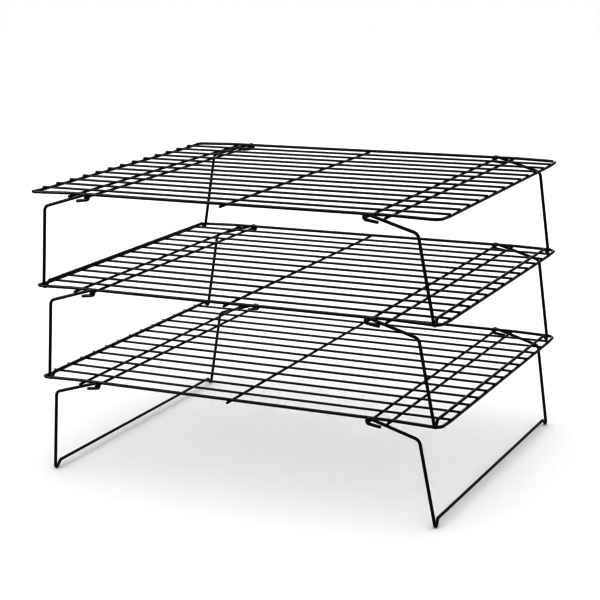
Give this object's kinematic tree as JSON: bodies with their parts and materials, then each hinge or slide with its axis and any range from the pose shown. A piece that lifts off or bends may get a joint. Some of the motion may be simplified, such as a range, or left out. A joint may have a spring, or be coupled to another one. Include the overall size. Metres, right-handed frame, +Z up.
{
  "type": "cooling rack",
  "caption": "Stacking wire cooling rack: coated steel racks with a close wire grid, each on folding bent-wire legs that stand on the grid of the rack below.",
  "frame": {"origin": "on the worktop under the middle of the stack, level with the bottom of the feet", "axes": "+X along the length of the racks to the right, +Y from the front to the back, +Z up"},
  "size_m": [0.4026, 0.3188, 0.2699],
  "materials": {
    "frame_wire": "black non-stick coating, satin",
    "grid_wire": "black non-stick coating, satin",
    "leg_wire": "black non-stick coating, satin"
  },
  "bodies": {
    "bottom_rack": {"bottom_frame": "frame_wire", "bottom_grid_wires": "grid_wire", "bottom_centre_cross_wire": "grid_wire", "bottom_left_hook_wire": "grid_wire", "bottom_left_stop_wire": "grid_wire", "bottom_right_hook_wire": "grid_wire", "bottom_right_stop_wire": "grid_wire"},
    "bottom_left_leg": {"bottom_left_leg": "leg_wire"},
    "bottom_right_leg": {"bottom_right_leg": "leg_wire"},
    "middle_rack": {"middle_frame": "frame_wire", "middle_grid_wires": "grid_wire", "middle_centre_cross_wire": "grid_wire", "middle_left_hook_wire": "grid_wire", "middle_left_stop_wire": "grid_wire", "middle_right_hook_wire": "grid_wire", "middle_right_stop_wire": "grid_wire"},
    "middle_left_leg": {"middle_left_leg": "leg_wire"},
    "middle_right_leg": {"middle_right_leg": "leg_wire"},
    "top_rack": {"top_frame": "frame_wire", "top_grid_wires": "grid_wire", "top_centre_cross_wire": "grid_wire", "top_left_hook_wire": "grid_wire", "top_left_stop_wire": "grid_wire", "top_right_hook_wire": "grid_wire", "top_right_stop_wire": "grid_wire"},
    "top_left_leg": {"top_left_leg": "leg_wire"},
    "top_right_leg": {"top_right_leg": "leg_wire"}
  },
  "joints": [
    {"name": "bottom_left_leg_fold", "type": "hinge", "parent": "bottom_rack", "child": "bottom_left_leg", "pos_m": [-0.137, 0, 0.09026], "axis": [0, -1, 0], "range_deg": [0, 122]},
    {"name": "bottom_right_leg_fold", "type": "hinge", "parent": "bottom_rack", "child": "bottom_right_leg", "pos_m": [0.137, 0, 0.09026], "axis": [0, 1, 0], "range_deg": [0, 122]},
    {"name": "middle_rack_lift", "type": "slide", "parent": "bottom_rack", "child": "middle_rack", "axis": [0, 0, 1], "range_m": [0, 0.175]},
    {"name": "middle_left_leg_fold", "type": "hinge", "parent": "middle_rack", "child": "middle_left_leg", "pos_m": [-0.137, 0, 0.17819], "axis": [0, -1, 0], "range_deg": [0, 122]},
    {"name": "middle_right_leg_fold", "type": "hinge", "parent": "middle_rack", "child": "middle_right_leg", "pos_m": [0.137, 0, 0.17819], "axis": [0, 1, 0], "range_deg": [0, 122]},
    {"name": "top_rack_lift", "type": "slide", "parent": "middle_rack", "child": "top_rack", "axis": [0, 0, 1], "range_m": [0, 0.175]},
    {"name": "top_left_leg_fold", "type": "hinge", "parent": "top_rack", "child": "top_left_leg", "pos_m": [-0.137, 0, 0.26613], "axis": [0, -1, 0], "range_deg": [0, 122]},
    {"name": "top_right_leg_fold", "type": "hinge", "parent": "top_rack", "child": "top_right_leg", "pos_m": [0.137, 0, 0.26613], "axis": [0, 1, 0], "range_deg": [0, 122]}
  ],
  "couplings": [
    {"joint": "middle_left_leg_fold", "follows": "middle_rack_lift", "rad_per_m": 12.16},
    {"joint": "middle_right_leg_fold", "follows": "middle_rack_lift", "rad_per_m": 12.16},
    {"joint": "top_left_leg_fold", "follows": "top_rack_lift", "rad_per_m": 12.16},
    {"joint": "top_right_leg_fold", "follows": "top_rack_lift", "rad_per_m": 12.16}
  ]
}
